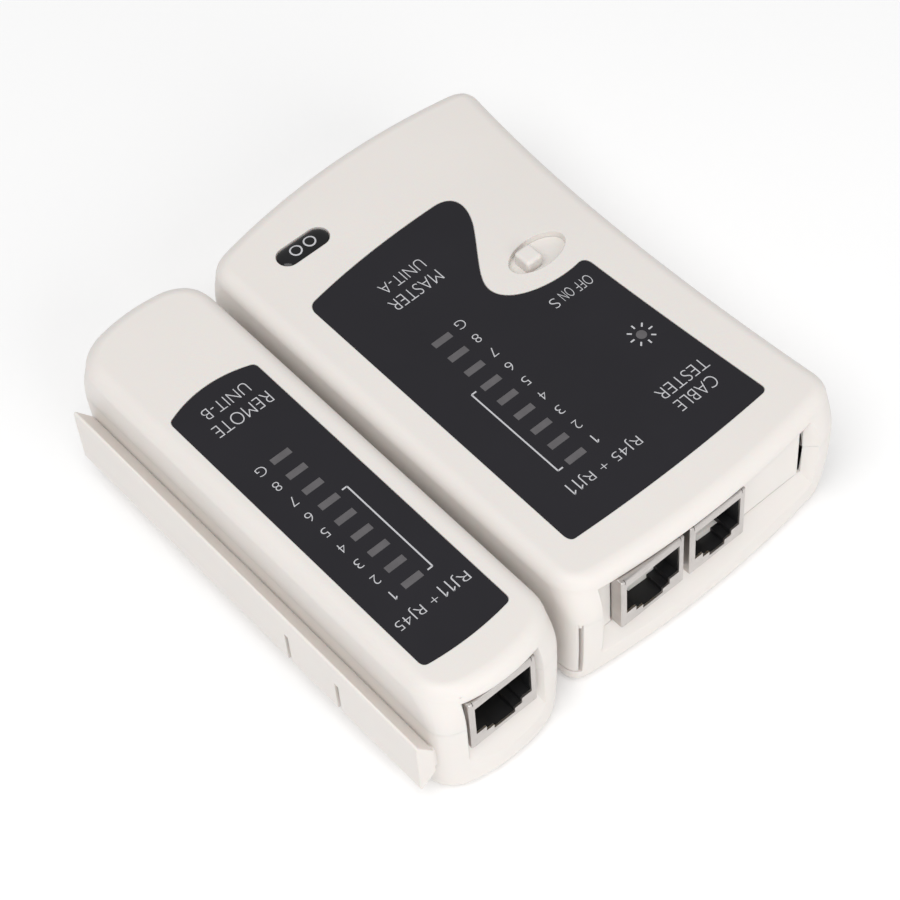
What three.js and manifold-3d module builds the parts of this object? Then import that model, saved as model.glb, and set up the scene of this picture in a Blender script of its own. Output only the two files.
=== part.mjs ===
// Network cable tester: a wide master unit and a narrow remote unit lying side by side, face up.
// Millimetres. +Z up, ports face -Y, the master is on the +X side. Origin: centre of the footprint.
import * as THREE from "three";
import { mergeVertices } from "three/addons/utils/BufferGeometryUtils.js";
import Module from "manifold-3d";

const wasm = await Module();
wasm.setup();

// ---------------------------------------------------------------- driving dimensions
const HEIGHT = 29.8; // both units
const SPLIT = 19.7; // height of the seam between top and bottom shells
const WALL = 2; // moulded wall thickness
const EDGE_ROUND = 3; // fillet round the top and bottom edges
const GAP = 0.3; // running gap between neighbouring pieces
const SEAM_GAP = 0.02; // hairline between the two shells

// Plan of each case: straight inner side at `left`, outer side with a shallow waist, curved ends.
// The corners are fullest at the seam. Corner reaches run near left, near right, far right, far left;
// `back` sets the port edge back at that level.
const MASTER = {
  left: -14.9,
  waist: 46.3,
  waistY: 2.6,
  nearFlare: 2.5,
  farFlare: 4.1,
  port: { x: 15.4, y: -51.9 },
  far: { x: 20, y: 52.9, radius: 135 },
  top: { portRadius: 185, back: 0, corners: [6, 6, 5, 5] },
  seam: { portRadius: 900, back: 0, corners: [5.6, 7.1, 3, 2.2] },
  foot: { portRadius: 200, back: 0, corners: [3.4, 6, 5, 5] },
};
const REMOTE = {
  left: -45.4,
  waist: -17.8,
  waistY: 0,
  nearFlare: 0,
  farFlare: 0,
  port: { x: -31.6, y: -53.2 },
  far: { x: -30.6, y: 50.9, radius: 34 },
  top: { portRadius: 34, back: 0.7, corners: [6, 6, 6, 6] },
  seam: { portRadius: 37, back: 0, corners: [3.4, 3.4, 3, 2] },
  foot: { portRadius: 34, back: 0, corners: [4.6, 5.4, 6, 6] },
};
const SIDE_REACH = 52.6; // distance from the waist at which the flares are measured

const JACK_Z = 12.85; // underside of every jack
const JACK_HEIGHT = 13.6;
const JACK_DEPTH = 16.5;
const SHIELD_WALL = 0.4;
const RJ45 = { width: 14.6, mouth: 12.2, step: 7.8, key: 4.6, contacts: 8 };
const RJ11 = { width: 13.1, mouth: 10.6, step: 6.8, key: 3.6, contacts: 6 };
const KEY_LOW = 1.3; // heights above the jack's underside: keyway, its step, shoulders, roof
const STEP_LOW = 2.4;
const MOUTH_LOW = 3.7;
const MOUTH_HIGH = 11.6;
const CONTACT_PITCH = 1.02;

// Port recess: its floor slopes out from the panel's foot to the port face.
const RECESS_HIGH = 26.7;
const PANEL_FOOT = 12.3;
const LEDGE_SLOPE = 2.5; // fall per millimetre outwards
const PANEL_THICK = 1.6;
// The jacks stand `setback` proud of the port panel.
const MASTER_PORT = { faceY: -52.1, setback: 2.7, x0: -9.4, x1: 39.9, panelEnd: 39.0, flare: 1.07 };
const REMOTE_PORT = { faceY: -52.4, setback: 1.4, x0: -40.5, x1: -24.7, panelEnd: -25.0, flare: 0.8 };
const MASTER_RJ45_X = 1.5;
const MASTER_RJ11_X = 16.7;
const REMOTE_RJ45_X = -32.7;

const PCB_TOP = 12.7;
const PCB_THICK = 1.5;

const LED_PITCH = 4.34;
const LED_TAGS = ["1", "2", "3", "4", "5", "6", "7", "8", "g"]; // eight wires and ground
const LED_FIRST_Y = -29.1;
const LED_SIZE = { x: 4.8, y: 2.0 };
const LED_WINDOW = { x: 4.1, y: 1.5 };
const LED_TOP = 29.2;
const LED_LENS = 6.5;
const LED_LEG = 0.6;
const LED_LEG_SPREAD = 1.27;
const MASTER_LED_X = 5.1;
const REMOTE_LED_X = -31.7;
const POWER_LED = { x: 31.4, y: -17.7, radius: 1.5 };

const LABEL_RECESS = 0.4;
const LABEL_THICK = 0.3;

const SWITCH = { x: 30.7, y: 8.95, halfX: 6.2, halfY: 3.45, depth: 1.4, travel: 4.1 };
const KNOB = { x: 3.7, y: 4.0, rise: 1.4 };
const SHUTTER = { x: 19.5, y: 9.4, thick: 0.75 };
const BADGE = { x: 0.87, y: 39.48, halfX: 5.6, halfY: 2.2, depth: 1.0 };

// Dovetail docking rail on the remote, with a snap tongue between two slits, and the slot on the master.
const RAIL = { out: 3.8, neck: 0.3, low: 6.4, high: 19.7, near: -49.4, far: 45.3, edge: 0.5 };
const RAIL_NECK = { under: 8.8, low: 9.4, high: 14.8, top: 15.5 };
const RAIL_SLITS = { ys: [-28.2, -14.7], width: 1.0, height: 8, deep: 1.8 };
const DOCK = { lip: 1.3, inner: 1.9, wall: 3.9, flange: 4.3, lipFoot: 4.6, slotTop: 18.7, roof: 1.2 };

const BAY = { x0: -8.6, x1: 43, near: 19.5, cover: 1.7 };
const CELL = { x0: -9.4, y: 33.0, length: 46.2, width: 26.2, height: 17.3, low: 2.1 };

const SCREW = { headRadius: 2.2, headHeight: 1.8, shaftRadius: 1.2, low: 3.2, top: 24 };
const BOSS_RADIUS = 3.2;
const MASTER_SCREWS = [
  [-6.6, -31.5],
  [41.8, -31.5],
  [-6.6, 14],
  [41.2, 14],
];
const REMOTE_SCREWS = [
  [-31.7, -32.65],
  [-31.7, 38],
];
const REMOTE_BOSS_RADIUS = 3;

// ---------------------------------------------------------------- colours
const IVORY = { color: 0xe8e2d8, roughness: 0.45, metalness: 0 };
const BLACK = { color: 0x18171a, roughness: 0.5, metalness: 0 };
const NICKEL = { color: 0xc9c2ba, roughness: 0.3, metalness: 1 };
const GOLD = { color: 0xc7a248, roughness: 0.3, metalness: 1 };
const GREEN = { color: 0x1e5a37, roughness: 0.5, metalness: 0 };
const SMOKE = { color: 0x6a6769, roughness: 0.35, metalness: 0 };
const STEEL = { color: 0x9a9a9c, roughness: 0.35, metalness: 1 };
const RED = { color: 0xa02020, roughness: 0.5, metalness: 0 };
const BATTERY = { color: 0x2f3542, roughness: 0.4, metalness: 0.2 };

// ---------------------------------------------------------------- solids
function solidOf(geometry) {
  const bare = new THREE.BufferGeometry();
  bare.setAttribute("position", geometry.getAttribute("position").clone());
  if (geometry.index) bare.setIndex(geometry.index.clone());
  const merged = mergeVertices(bare, 1e-5);
  return new wasm.Manifold(
    new wasm.Mesh({
      numProp: 3,
      vertProperties: new Float32Array(merged.getAttribute("position").array),
      triVerts: new Uint32Array(merged.index.array),
    }),
  );
}

function block(x0, x1, y0, y1, z0, z1) {
  const geometry = new THREE.BoxGeometry(x1 - x0, y1 - y0, z1 - z0);
  geometry.translate((x0 + x1) / 2, (y0 + y1) / 2, (z0 + z1) / 2);
  return solidOf(geometry);
}

// A block given by its centre in x and y, its size, and its lowest and highest z.
function centredBlock(x, y, sizeX, sizeY, z0, z1) {
  return block(x - sizeX / 2, x + sizeX / 2, y - sizeY / 2, y + sizeY / 2, z0, z1);
}

function prism(points, z0, z1) {
  const geometry = new THREE.ExtrudeGeometry(new THREE.Shape(points), {
    depth: z1 - z0,
    bevelEnabled: false,
  });
  geometry.translate(0, 0, z0);
  return solidOf(geometry);
}

// A profile in the x-z plane, swept along y from y0 to y1.
function sweepY(points, y0, y1) {
  const geometry = new THREE.ExtrudeGeometry(new THREE.Shape(points), {
    depth: y1 - y0,
    bevelEnabled: false,
  });
  geometry.rotateX(Math.PI / 2);
  geometry.translate(0, y1, 0);
  return solidOf(geometry);
}

function post(x, y, radius, z0, z1, segments = 14) {
  const geometry = new THREE.CylinderGeometry(radius, radius, z1 - z0, segments);
  geometry.rotateX(Math.PI / 2);
  geometry.translate(x, y, (z0 + z1) / 2);
  return solidOf(geometry);
}

// A closed body through rings of equal point count, each { points, z }, lowest first.
function loft(rings) {
  const count = rings[0].points.length;
  const positions = [];
  for (const ring of rings) {
    for (const p of ring.points) positions.push(p.x, p.y, ring.z);
  }
  const index = [];
  for (let r = 0; r + 1 < rings.length; r++) {
    for (let i = 0; i < count; i++) {
      const a = r * count + i;
      const b = r * count + ((i + 1) % count);
      index.push(a, b, b + count, a, b + count, a + count);
    }
  }
  const top = (rings.length - 1) * count;
  for (const [a, b, c] of THREE.ShapeUtils.triangulateShape(rings[0].points, [])) index.push(a, c, b);
  for (const [a, b, c] of THREE.ShapeUtils.triangulateShape(rings.at(-1).points, [])) {
    index.push(top + a, top + b, top + c);
  }
  const geometry = new THREE.BufferGeometry();
  geometry.setAttribute("position", new THREE.Float32BufferAttribute(positions, 3));
  geometry.setIndex(index);
  return solidOf(geometry);
}

function meshOf(name, solid, look) {
  const made = solid.getMesh();
  const geometry = new THREE.BufferGeometry();
  geometry.setAttribute("position", new THREE.BufferAttribute(made.vertProperties, 3));
  geometry.setIndex(new THREE.BufferAttribute(made.triVerts, 1));
  geometry.computeVertexNormals();
  const mesh = new THREE.Mesh(geometry, new THREE.MeshStandardMaterial(look));
  mesh.name = name;
  return mesh;
}

function allOf(solids) {
  return solids.reduce((joined, next) => joined.add(next));
}

// ---------------------------------------------------------------- case outline
function portEdge(unit, radius, x) {
  return unit.port.y + radius - Math.sqrt(radius ** 2 - (x - unit.port.x) ** 2);
}

function farEdge(unit, x) {
  const { far } = unit;
  return far.y - far.radius + Math.sqrt(far.radius ** 2 - (x - far.x) ** 2);
}

// The outer (+X) side: a shallow waist that flares towards both ends.
function outerSide(unit, y) {
  const t = (y - unit.waistY) / SIDE_REACH;
  return unit.waist + (t < 0 ? unit.nearFlare : unit.farFlare) * t * t;
}

function vec(x, y) {
  return new THREE.Vector2(x, y);
}

// Rounds a corner between two edge points; the handle is the sharp corner.
function cornerPoints(start, corner, end, segments = 4) {
  return new THREE.QuadraticBezierCurve(start, corner, end).getPoints(segments);
}

// The plan outline at one level, counter-clockwise from the near left corner.
function caseOutline(unit, level) {
  const [nearLeftReach, nearRightReach, farRightReach, farLeftReach] = level.corners;
  const nearRight = outerSide(unit, unit.port.y);
  const farRight = outerSide(unit, unit.far.y);
  const portY = (x) => portEdge(unit, level.portRadius, x) + level.back;
  const steps = 8;
  const portPoints = [];
  const farPoints = [];
  for (let i = 0; i <= steps; i++) {
    const portX = THREE.MathUtils.lerp(unit.left + nearLeftReach, nearRight - nearRightReach, i / steps);
    const farX = THREE.MathUtils.lerp(farRight - farRightReach, unit.left + farLeftReach, i / steps);
    portPoints.push(vec(portX, portY(portX)));
    farPoints.push(vec(farX, farEdge(unit, farX)));
  }
  const sideLow = portY(nearRight) + nearRightReach;
  const sideHigh = farEdge(unit, farRight) - farRightReach;
  const sideSteps = unit.nearFlare > 0 ? 6 : 1;
  const sidePoints = [];
  for (let i = 0; i <= sideSteps; i++) {
    const y = THREE.MathUtils.lerp(sideLow, sideHigh, i / sideSteps);
    sidePoints.push(vec(outerSide(unit, y), y));
  }
  const nearLeft = vec(unit.left, portY(unit.left) + nearLeftReach);
  const farLeft = vec(unit.left, farEdge(unit, unit.left) - farLeftReach);
  return [
    ...portPoints,
    ...cornerPoints(portPoints.at(-1), vec(nearRight, portY(nearRight)), sidePoints[0]).slice(1, -1),
    ...sidePoints,
    ...cornerPoints(sidePoints.at(-1), vec(farRight, farEdge(unit, farRight)), farPoints[0]).slice(1, -1),
    ...farPoints,
    ...cornerPoints(farPoints.at(-1), vec(unit.left, farEdge(unit, unit.left)), farLeft).slice(1),
    ...cornerPoints(nearLeft, vec(unit.left, portY(unit.left)), portPoints[0]).slice(0, -1),
  ];
}

function casePlan(unit) {
  return {
    top: caseOutline(unit, unit.top),
    seam: caseOutline(unit, unit.seam),
    foot: caseOutline(unit, unit.foot),
  };
}

// Moves every point of a counter-clockwise outline inwards by the same distance.
function inset(points, distance) {
  return points.map((p, i) => {
    const before = points.at(i - 1);
    const after = points[(i + 1) % points.length];
    const inA = vec(before.y - p.y, p.x - before.x).normalize();
    const inB = vec(p.y - after.y, after.x - p.x).normalize();
    const inward = inA.clone().add(inB).normalize();
    return p.clone().addScaledVector(inward, distance / inward.dot(inA));
  });
}

// A ring of the bulging side wall, `share` of the way from the seam to an edge fillet.
function bulgeRing(seam, edge, edgeZ, share) {
  const points = seam.map((p, i) => p.clone().lerp(edge[i], share * share));
  return { points, z: THREE.MathUtils.lerp(SPLIT, edgeZ, share) };
}

// Rings of an edge fillet, from the side wall (0 degrees) to the flat face (90 degrees).
function filletRings(outline, sideZ, faceZ, angles) {
  return angles.map((angle) => {
    const turn = THREE.MathUtils.degToRad(angle);
    const points = inset(outline, EDGE_ROUND * (1 - Math.cos(turn)));
    return { points, z: THREE.MathUtils.lerp(sideZ, faceZ, Math.sin(turn)) };
  });
}

function topBody(plan) {
  const sideZ = HEIGHT - EDGE_ROUND;
  return loft([
    { points: plan.seam, z: SPLIT + SEAM_GAP },
    bulgeRing(plan.seam, plan.top, sideZ, 0.5),
    ...filletRings(plan.top, sideZ, HEIGHT, [0, 30, 60, 90]),
  ]);
}

function bottomBody(plan) {
  return loft([
    ...filletRings(plan.foot, EDGE_ROUND, 0, [90, 60, 30, 0]),
    bulgeRing(plan.seam, plan.foot, EDGE_ROUND, 0.5),
    { points: plan.seam, z: SPLIT },
  ]);
}

function topCavity(plan) {
  return loft([
    { points: inset(plan.seam, WALL), z: SPLIT - 1 },
    { points: inset(plan.top, WALL), z: HEIGHT - EDGE_ROUND },
    { points: inset(plan.top, WALL + 1), z: HEIGHT - WALL },
  ]);
}

function bottomCavity(plan) {
  return loft([
    { points: inset(plan.foot, WALL + 1), z: WALL },
    { points: inset(plan.foot, WALL), z: EDGE_ROUND },
    { points: inset(plan.seam, WALL), z: SPLIT + 1 },
  ]);
}

// ---------------------------------------------------------------- port recess
function panelY(port) {
  return port.faceY + port.setback;
}

// Everything in front of the panel, above the sloping ledge and between the side walls.
function recessCut(port) {
  const back = panelY(port);
  const front = back - 8;
  const clear = back + PANEL_THICK + GAP;
  const flare = port.flare * (back - front);
  const plan = prism([vec(port.x0, front), vec(port.x1 + flare, front), vec(port.x1, back), vec(port.x0, back)], 0, RECESS_HIGH);
  const outFoot = PANEL_FOOT - LEDGE_SLOPE * (back - front);
  const side = new THREE.ExtrudeGeometry(
    new THREE.Shape([vec(front, outFoot), vec(back, PANEL_FOOT), vec(back, RECESS_HIGH), vec(front, RECESS_HIGH)]),
    { depth: 100, bevelEnabled: false },
  );
  side.applyMatrix4(new THREE.Matrix4().makeBasis(new THREE.Vector3(0, 1, 0), new THREE.Vector3(0, 0, 1), new THREE.Vector3(1, 0, 0)));
  side.translate(port.x0 - 10, 0, 0);
  return plan.intersect(solidOf(side)).add(block(port.x0, port.x1, back - 0.5, clear, PANEL_FOOT, RECESS_HIGH));
}

// Thickens the port wall behind the ledge, up to the panel's foot.
function ledgeBacking(port, plan) {
  const back = panelY(port);
  const backing = block(port.x0 - 1, port.x1 + 1, back - 1, back + PANEL_THICK, 6, PANEL_FOOT);
  return backing.intersect(prism(inset(plan.foot, WALL / 2), 0, HEIGHT));
}

// Panel that hangs from the top shell, with one opening for its jacks: each is [shape, x].
function hangingPanel(port, jacks) {
  const back = panelY(port);
  const [[first, firstX], [last, lastX]] = [jacks[0], jacks.at(-1)];
  const left = firstX - first.width / 2 - GAP / 2;
  const right = lastX + last.width / 2 + GAP / 2;
  const panel = block(port.x0 + GAP, port.panelEnd, back, back + PANEL_THICK, PANEL_FOOT + GAP, HEIGHT - WALL + 0.4);
  return panel.subtract(block(left, right, back - 3, back + 3, 0, JACK_Z + JACK_HEIGHT + 0.1));
}

// ---------------------------------------------------------------- labels
function flatArc(x0, x1, midY, bow, steps) {
  const points = [];
  for (let i = 0; i <= steps; i++) {
    const t = (2 * i) / steps - 1;
    points.push(vec(THREE.MathUtils.lerp(x0, x1, i / steps), midY + bow * t * t));
  }
  return points;
}

// Master label: its +X side steps in round the switch and rises to a rounded peak beyond it.
function masterLabelOutline() {
  const corner = 1.3;
  const left = -7.6;
  const portArc = flatArc(left + corner, 37.5, -42.3, 0.7, 4);
  const sideTop = vec(38.7, -40.1);
  const bayStart = vec(34.7, 2.1);
  const bayEnd = vec(19.7, 11.5);
  const riseEnd = vec(26.6, 21.6);
  const peakEnd = vec(24.5, 30.3);
  const farEnd = vec(-5.6, 28.2);
  const bayLow = new THREE.CubicBezierCurve(bayStart, vec(27, 0.9), vec(15.5, 4.2), bayEnd).getPoints(6);
  const rise = new THREE.CubicBezierCurve(bayEnd, vec(20.6, 13.4), vec(24.4, 18.2), riseEnd).getPoints(3);
  const peak = new THREE.CubicBezierCurve(riseEnd, vec(29.6, 26.6), vec(28.9, 30.2), peakEnd).getPoints(5);
  const farArc = new THREE.QuadraticBezierCurve(peakEnd, vec(8, 30.6), farEnd).getPoints(5);
  return [
    ...portArc,
    ...cornerPoints(portArc.at(-1), vec(38.8, -41.4), sideTop, 3).slice(1),
    ...new THREE.QuadraticBezierCurve(sideTop, vec(36.9, -16), vec(36.3, 0.2)).getPoints(4).slice(1),
    ...cornerPoints(vec(36.3, 0.2), vec(36.2, 2.1), bayStart, 3).slice(1, -1),
    ...bayLow,
    ...rise.slice(1),
    ...peak.slice(1),
    ...farArc.slice(1),
    ...cornerPoints(farEnd, vec(-7.3, 27.8), vec(left + 0.2, 25.8), 4).slice(1),
    ...cornerPoints(vec(left, -39.6), vec(left, portArc[0].y), portArc[0], 3).slice(0, -1),
  ];
}

function remoteLabelOutline() {
  const corner = 1.3;
  const [left, right] = [-41.5, -22.3];
  const portArc = flatArc(left + corner, right - corner, -44, 0.6, 4);
  const farArc = flatArc(right - 1, left + 1, 26.6, -1.7, 6);
  return [
    ...portArc,
    ...cornerPoints(portArc.at(-1), vec(right, -43.3), vec(right, -41.9), 3).slice(1),
    ...cornerPoints(vec(right, 23.4), vec(right, 24.6), farArc[0], 2),
    ...farArc.slice(1),
    ...cornerPoints(farArc.at(-1), vec(left, 24.6), vec(left, 23.4), 2).slice(1),
    ...cornerPoints(vec(left, -41.9), vec(left, -43.3), portArc[0], 3).slice(0, -1),
  ];
}

function ledY(i) {
  return LED_FIRST_Y + i * LED_PITCH;
}

function ledHoles(x, size, slack, z0, z1) {
  return allOf(LED_TAGS.map((tag, i) => centredBlock(x, ledY(i), size.x + slack, size.y + slack, z0, z1)));
}

function labelPlate(outline, ledX) {
  const floor = HEIGHT - LABEL_RECESS;
  const windows = ledHoles(ledX, LED_WINDOW, 0, floor - 1, HEIGHT + 1);
  return prism(inset(outline, 0.1), floor, floor + LABEL_THICK).subtract(windows);
}

// ---------------------------------------------------------------- jacks
// A jack's mouth in x and height above the jack's underside, with the stepped keyway at the bottom.
function mouthPoints(jack, x) {
  const profile = [
    [jack.key / 2, KEY_LOW],
    [jack.key / 2, STEP_LOW],
    [jack.step / 2, STEP_LOW],
    [jack.step / 2, MOUTH_LOW],
    [jack.mouth / 2, MOUTH_LOW],
    [jack.mouth / 2, MOUTH_HIGH],
  ];
  const right = profile.map(([dx, z]) => vec(x + dx, JACK_Z + z));
  const left = profile.map(([dx, z]) => vec(x - dx, JACK_Z + z)).reverse();
  return [...right, ...left];
}

// Folded metal shell: front face with the mouth cut in it, open at the back.
function jackShield(jack, x, faceY) {
  const w = jack.width / 2;
  const t = SHIELD_WALL;
  const outer = block(x - w, x + w, faceY, faceY + JACK_DEPTH, JACK_Z, JACK_Z + JACK_HEIGHT);
  const inner = block(x - w + t, x + w - t, faceY + t, faceY + JACK_DEPTH + 1, JACK_Z + t, JACK_Z + JACK_HEIGHT - t);
  return outer.subtract(inner).subtract(sweepY(mouthPoints(jack, x), faceY - 1, faceY + 1));
}

// Moulded block that fills the shield and guides the plug.
function jackInsert(jack, x, faceY) {
  const w = jack.width / 2 - SHIELD_WALL - 0.1;
  const front = faceY + SHIELD_WALL + 0.1;
  const back = faceY + JACK_DEPTH - 0.2;
  const low = JACK_Z + SHIELD_WALL + 0.1;
  const high = JACK_Z + JACK_HEIGHT - SHIELD_WALL - 0.1;
  const roof = JACK_Z + MOUTH_HIGH;
  const contactSeat = centredBlock(x, front + 1.1, jack.mouth, 4.2, roof - 0.5, roof + 0.8);
  return block(x - w, x + w, front, back, low, high)
    .subtract(sweepY(mouthPoints(jack, x), front - 1, back - 2))
    .subtract(contactSeat);
}

// One comb: spring fingers that slant down into the mouth from a carrier bar.
function jackContacts(jack, x, faceY) {
  const high = JACK_Z + MOUTH_HIGH + 0.6;
  const near = faceY + SHIELD_WALL + 0.4;
  const span = (jack.contacts - 1) * CONTACT_PITCH + 0.5;
  const parts = [centredBlock(x, near + 0.9, span, 1.2, high - 0.5, high)];
  for (let i = 0; i < jack.contacts; i++) {
    const finger = new THREE.BoxGeometry(0.4, 10, 0.35);
    finger.rotateX(THREE.MathUtils.degToRad(-17));
    finger.translate(x + (i - (jack.contacts - 1) / 2) * CONTACT_PITCH, near + 5.6, high - 1.75);
    parts.push(solidOf(finger));
  }
  return allOf(parts);
}

function addJack(group, name, jack, x, faceY) {
  group.add(meshOf(`${name}_shield`, jackShield(jack, x, faceY), NICKEL));
  group.add(meshOf(`${name}_insert`, jackInsert(jack, x, faceY), BLACK));
  group.add(meshOf(`${name}_contacts`, jackContacts(jack, x, faceY), GOLD));
}

// ---------------------------------------------------------------- small parts
function ledBody(x, y) {
  const lensLow = LED_TOP - LED_LENS;
  const legs = [-1, 1].map((side) =>
    centredBlock(x + side * LED_LEG_SPREAD, y, LED_LEG, LED_LEG, PCB_TOP + 0.05, lensLow + 0.5),
  );
  return allOf([centredBlock(x, y, LED_SIZE.x, LED_SIZE.y, lensLow, LED_TOP), ...legs]);
}

function addLeds(group, name, x) {
  LED_TAGS.forEach((tag, i) => group.add(meshOf(`${name}_led_${tag}`, ledBody(x, ledY(i)), SMOKE)));
}

function screwBody(x, y) {
  const { headRadius, headHeight, shaftRadius, low, top } = SCREW;
  const head = post(x, y, headRadius, low, low + headHeight, 12);
  return head.add(post(x, y, shaftRadius, low + headHeight - 0.5, top, 10));
}

// Screw tube in the bottom shell; the counterbore takes the screw's head.
function bottomBoss(x, y, radius) {
  return post(x, y, radius, 0.5, SPLIT - GAP);
}

function bottomBossHole(x, y) {
  const seat = SCREW.low + SCREW.headHeight + 0.05;
  const bore = post(x, y, SCREW.headRadius + 0.3, -1, seat, 12);
  return bore.add(post(x, y, SCREW.shaftRadius + 0.25, seat - 1, SPLIT + 1, 12));
}

function topBoss(x, y) {
  return post(x, y, SCREW.shaftRadius + 1.1, SPLIT + SEAM_GAP, HEIGHT - WALL + 0.5);
}

function topBossHole(x, y) {
  return post(x, y, SCREW.shaftRadius + 0.1, SPLIT - 1, SCREW.top + 0.6, 12);
}

function circuitBoard(x0, x1, y0, y1, screws, bossRadius) {
  let board = block(x0, x1, y0, y1, PCB_TOP - PCB_THICK, PCB_TOP);
  for (const [x, y] of screws) board = board.subtract(post(x, y, bossRadius + 0.4, 0, HEIGHT));
  return board;
}

// Dual in-line chip with its long side along y and its pins standing on the board.
function dipChip(x, y, pinsPerSide) {
  const pitch = 2.54;
  const low = PCB_TOP + 0.8;
  const parts = [centredBlock(x, y, 6.4, pinsPerSide * pitch, low, low + 3.4)];
  for (let i = 0; i < pinsPerSide; i++) {
    const pinY = y + (i - (pinsPerSide - 1) / 2) * pitch;
    for (const side of [-1, 1]) parts.push(centredBlock(x + side * 3.5, pinY, 0.9, 0.6, PCB_TOP + 0.05, low + 1.9));
  }
  return allOf(parts);
}

function resistorBody(x, y) {
  const z = PCB_TOP + 1.5;
  const body = new THREE.CylinderGeometry(1.1, 1.1, 6.2, 10);
  body.rotateZ(Math.PI / 2);
  body.translate(x, y, z);
  const parts = [solidOf(body), centredBlock(x, y, 8.8, 0.5, z - 0.25, z + 0.25)];
  for (const side of [-1, 1]) parts.push(centredBlock(x + side * 4.15, y, 0.5, 0.5, PCB_TOP + 0.05, z + 0.25));
  return allOf(parts);
}

function ellipse(centre, halfX, halfY, segments = 24) {
  const points = [];
  for (let i = 0; i < segments; i++) {
    const angle = (2 * Math.PI * i) / segments;
    points.push(vec(centre.x + halfX * Math.cos(angle), centre.y + halfY * Math.sin(angle)));
  }
  return points;
}

// Straight-sided oval with half-round ends.
function capsule(centre, halfX, halfY, segments = 8) {
  const shape = new THREE.Shape();
  shape.absarc(centre.x + halfX - halfY, centre.y, halfY, -Math.PI / 2, Math.PI / 2);
  shape.absarc(centre.x - halfX + halfY, centre.y, halfY, Math.PI / 2, (3 * Math.PI) / 2);
  return shape.getPoints(segments).slice(0, -1);
}

function wireTube(points, radius) {
  const path = new THREE.CatmullRomCurve3(points.map(([x, y, z]) => new THREE.Vector3(x, y, z)));
  const section = new THREE.Shape();
  section.absarc(0, 0, radius, 0, Math.PI * 2);
  return solidOf(new THREE.ExtrudeGeometry(section, { steps: 14, curveSegments: 4, extrudePath: path }));
}

// ---------------------------------------------------------------- master unit
// Lip of the top shell that hangs down in front of the docking slot, and the roof of the slot.
function dockLip(plan) {
  const { left } = MASTER;
  const lip = bottomBody(plan).intersect(block(left - 1, left + DOCK.lip, -60, 60, DOCK.lipFoot, SPLIT));
  const roof = prism(inset(plan.seam, 0.15), DOCK.slotTop, SPLIT + DOCK.roof);
  return lip.add(roof.intersect(block(left, left + DOCK.inner - 0.05, -60, 60, 0, HEIGHT)));
}

const SHUTTER_TOP = HEIGHT - SWITCH.depth - 0.05;

// Shallow pocket under the top face in which the knob's shutter slides.
function shutterPocket() {
  const length = SHUTTER.x + SWITCH.travel + 2 * GAP;
  return centredBlock(SWITCH.x, SWITCH.y, length, SHUTTER.y + 2 * GAP, HEIGHT - WALL - 1, HEIGHT - SWITCH.depth);
}

function masterTopShell(plan) {
  const floor = HEIGHT - LABEL_RECESS;
  let shell = topBody(plan).subtract(topCavity(plan));
  const adds = [dockLip(plan), ...MASTER_SCREWS.map(([x, y]) => topBoss(x, y))];
  for (const piece of adds) shell = shell.add(piece);
  const cuts = [
    prism(masterLabelOutline(), floor, HEIGHT + 1),
    ledHoles(MASTER_LED_X, LED_SIZE, 0.4, HEIGHT - 4, HEIGHT),
    post(POWER_LED.x, POWER_LED.y, POWER_LED.radius + 0.2, HEIGHT - 4, HEIGHT),
    prism(ellipse(SWITCH, SWITCH.halfX, SWITCH.halfY), HEIGHT - WALL - 1, HEIGHT + 1),
    shutterPocket(),
    prism(capsule(BADGE, BADGE.halfX + 0.2, BADGE.halfY + 0.2), HEIGHT - BADGE.depth, HEIGHT + 1),
    recessCut(MASTER_PORT),
    ...MASTER_SCREWS.map(([x, y]) => topBossHole(x, y)),
  ];
  for (const cut of cuts) shell = shell.subtract(cut);
  return shell.add(hangingPanel(MASTER_PORT, [[RJ45, MASTER_RJ45_X], [RJ11, MASTER_RJ11_X]]));
}

function masterBottomShell(plan) {
  const inside = bottomCavity(plan).intersect(block(MASTER.left + DOCK.wall, 60, -60, 60, 0, HEIGHT));
  let shell = bottomBody(plan).subtract(inside);
  const bayWall = block(MASTER.left + DOCK.wall - 1, 46, BAY.near - 2.2, BAY.near - 0.7, WALL - 1, 15);
  shell = allOf([shell, ledgeBacking(MASTER_PORT, plan), bayWall, ...MASTER_SCREWS.map(([x, y]) => bottomBoss(x, y, BOSS_RADIUS))]);
  const cuts = [
    recessCut(MASTER_PORT),
    block(MASTER.left - 1, MASTER.left + DOCK.inner, -60, 60, DOCK.flange, HEIGHT),
    block(BAY.x0 - GAP, BAY.x1 + GAP, BAY.near - GAP, 60, -1, BAY.cover + GAP),
    block(BAY.x0 + 1, BAY.x1 - 1, BAY.near + 1, 48, 0, WALL + 1),
    ...MASTER_SCREWS.map(([x, y]) => bottomBossHole(x, y)),
  ];
  for (const cut of cuts) shell = shell.subtract(cut);
  return shell;
}

// Underside hatch over the battery bay; slides off past the far end.
function batteryCover(plan) {
  let cover = bottomBody(plan).intersect(block(BAY.x0, BAY.x1, BAY.near, 60, -1, BAY.cover));
  const middle = (BAY.x0 + BAY.x1) / 2;
  for (const dy of [3, 5, 7, 9]) {
    cover = cover.subtract(centredBlock(middle, BAY.near + dy, 16, 1, -1, 0.5));
  }
  return cover;
}

function switchBody() {
  const top = HEIGHT - WALL - 0.6;
  const body = centredBlock(SWITCH.x, SWITCH.y, 12.4, 6, top - 5, top);
  const pins = [-2.5, 0, 2.5].map((dx) => centredBlock(SWITCH.x + dx, SWITCH.y, 0.8, 0.8, PCB_TOP + 0.05, top - 4.5));
  return allOf([body, ...pins]).subtract(centredBlock(SWITCH.x, SWITCH.y, 8, 3, top - 2.5, top + 1));
}

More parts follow.
